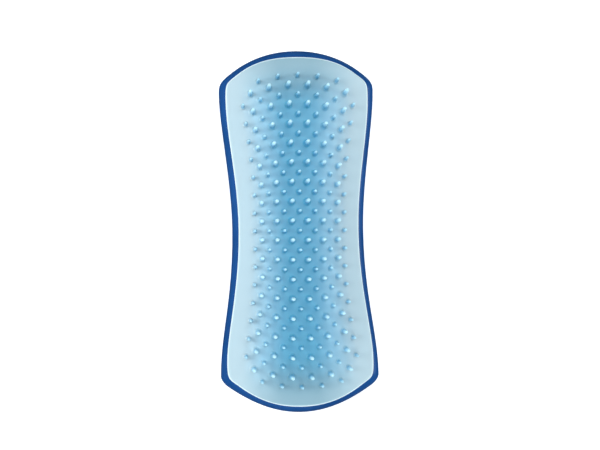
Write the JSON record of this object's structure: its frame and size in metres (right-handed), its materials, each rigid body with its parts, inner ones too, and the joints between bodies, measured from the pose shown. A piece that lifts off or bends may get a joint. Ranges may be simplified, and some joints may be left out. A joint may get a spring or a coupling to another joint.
{
  "type": "pet grooming brush",
  "caption": "Palm-held pet grooming brush: hourglass two-part shell with a domed back and a crowned flexible pad of long and short teeth.",
  "frame": {"origin": "middle of the flat on the back, which is the underside as the brush lies with its teeth up", "axes": "+Y along the brush towards its end with the softer corners, +Z out of the teeth, X across the palm"},
  "size_m": [0.0654, 0.15, 0.0444],
  "materials": {
    "shell": "polished deep-blue moulded plastic",
    "pad": "satin light-blue moulded elastomer"
  },
  "bodies": {
    "root": {"back_cover": "shell", "front_frame": "shell", "tooth_pad": "pad"}
  },
  "joints": []
}
